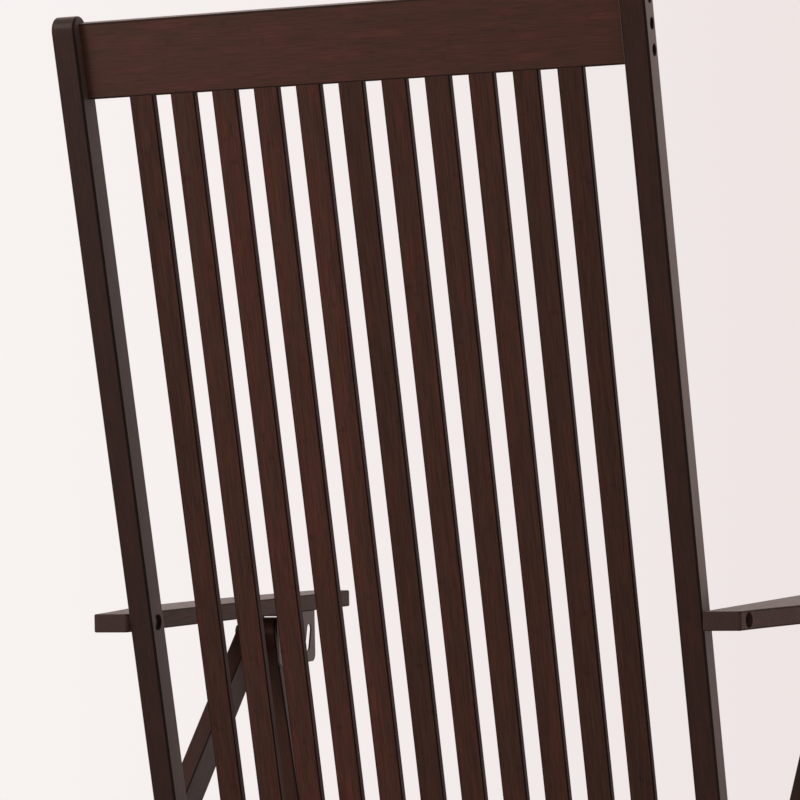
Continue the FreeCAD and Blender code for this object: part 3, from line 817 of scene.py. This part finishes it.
class RECLINER_OT_stage(bpy.types.Operator):
    """Build the floor, the light and the camera"""
    bl_idname = "recliner.stage"
    bl_label = "Stage"

    def execute(self, context):
        look = settings("recliner_stage")
        bpy.ops.mesh.primitive_circle_add(vertices=96, radius=FLOOR_RADIUS, fill_type="NGON")
        floor = context.active_object
        floor.name = "floor"
        floor.data.materials.append(studio_floor("painted_floor", look))
        self.light_world(context.scene, look)
        for name, (place, diameter, setting) in LAMPS.items():
            self.hang_lamp(context, name, place, diameter, getattr(look, setting))
        self.place_camera(context, look)
        context.scene.view_settings.view_transform = "Standard"
        return {"FINISHED"}

    def light_world(self, scene, look):
        """Even light from all round, with the backdrop where a ray shows it."""
        world = bpy.data.worlds.new("studio")
        world.use_nodes = True
        scene.world = world
        tree = world.node_tree
        even = add(
            tree, "ShaderNodeBackground",
            {"Color": (1, 1, 1, 1), "Strength": look.ambient},
        )
        direction = add(tree, "ShaderNodeTexCoord").outputs["Generated"]
        tone = backdrop_tone(tree, direction, look)
        backdrop = add(tree, "ShaderNodeBackground", {"Color": tone, "Strength": 1.0})
        mix = add(
            tree, "ShaderNodeMixShader",
            {0: backdrop_shown(tree), 1: even.outputs[0], 2: backdrop.outputs[0]},
        )
        fill(tree.nodes["World Output"], {"Surface": mix.outputs[0]})

    def hang_lamp(self, context, name, place, diameter, watts):
        bpy.ops.object.light_add(type="AREA", location=place)
        lamp = context.active_object
        lamp.name = name
        lamp.data.shape = "DISK"
        lamp.data.size = diameter
        lamp.data.energy = watts
        aim(lamp, CHAIR_MIDDLE - Vector(place))

    def place_camera(self, context, look):
        bpy.ops.object.camera_add(location=CAMERA_PLACE)
        camera = context.active_object
        camera.name = "camera"
        camera.data.lens = look.lens
        camera.data.sensor_width = SENSOR_WIDTH
        aim(camera, CAMERA_DIRECTION)
        context.scene.camera = camera


class RECLINER_PT_panel(bpy.types.Panel):
    """Pieces of the recliner"""
    bl_idname = "RECLINER_PT_panel"
    bl_label = "Recliner"
    bl_space_type = "VIEW_3D"
    bl_region_type = "UI"
    bl_category = "Recliner"

    def draw(self, context):
        for operator in OPERATORS:
            self.layout.operator(operator.bl_idname)
        for name, group in SETTINGS.items():
            box = self.layout.box()
            for key in group.__annotations__:
                box.prop(getattr(context.scene, name), key)


SETTINGS = {
    "recliner_bamboo": BambooSettings,
    "recliner_metal": MetalSettings,
    "recliner_bolts": BoltSettings,
    "recliner_pads": PadSettings,
    "recliner_stage": StageSettings,
}
OPERATORS = (
    RECLINER_OT_boards,
    RECLINER_OT_brackets,
    RECLINER_OT_bolts,
    RECLINER_OT_screws,
    RECLINER_OT_foot_pads,
    RECLINER_OT_stage,
)


def register():
    for name, group in SETTINGS.items():
        bpy.utils.register_class(group)
        setattr(bpy.types.Scene, name, bpy.props.PointerProperty(type=group))
    for operator in OPERATORS:
        bpy.utils.register_class(operator)
    bpy.utils.register_class(RECLINER_PT_panel)


def unregister():
    bpy.utils.unregister_class(RECLINER_PT_panel)
    for operator in reversed(OPERATORS):
        bpy.utils.unregister_class(operator)
    for name, group in reversed(SETTINGS.items()):
        delattr(bpy.types.Scene, name)
        bpy.utils.unregister_class(group)


def main():
    register()
    bpy.ops.object.select_all(action="DESELECT")
    bpy.ops.recliner.boards()
    bpy.ops.recliner.brackets()
    bpy.ops.recliner.bolts()
    bpy.ops.recliner.screws()
    bpy.ops.recliner.foot_pads()
    bpy.ops.recliner.stage()


if __name__ == "__main__":
    main()
